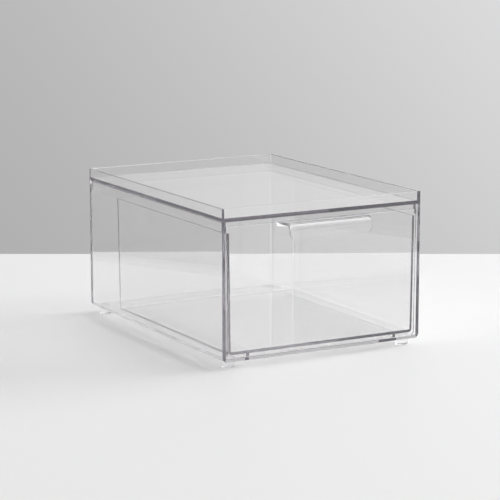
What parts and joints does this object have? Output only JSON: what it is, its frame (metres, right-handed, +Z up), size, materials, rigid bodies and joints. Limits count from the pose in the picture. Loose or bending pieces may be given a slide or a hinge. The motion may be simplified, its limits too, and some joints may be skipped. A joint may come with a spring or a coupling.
{
  "type": "stackable drawer box",
  "caption": "Clear plastic desktop box, open at the front, with a sliding drawer, a bent lip pull, a raised stacking rim on its flat top and short round feet.",
  "frame": {"origin": "middle of the whole object's footprint, lip pull included, on the surface that the feet stand on", "axes": "+X to the right seen from the front, +Y from the front to the back, +Z up"},
  "size_m": [0.1524, 0.2142, 0.1066],
  "materials": {
    "clear_case": "polished clear moulding",
    "clear_top": "polished clear moulding",
    "clear_drawer": "polished clear moulding",
    "clear_foot": "clear moulding"
  },
  "bodies": {
    "case": {"case_body": "clear_case", "case_top": "clear_top", "foot_front_left": "clear_foot", "foot_front_right": "clear_foot", "foot_rear_left": "clear_foot", "foot_rear_right": "clear_foot"},
    "drawer": {"drawer": "clear_drawer"}
  },
  "joints": [
    {"name": "drawer_slide", "type": "slide", "parent": "case", "child": "drawer", "axis": [0, -1, 0], "range_m": [0, 0.145]}
  ]
}
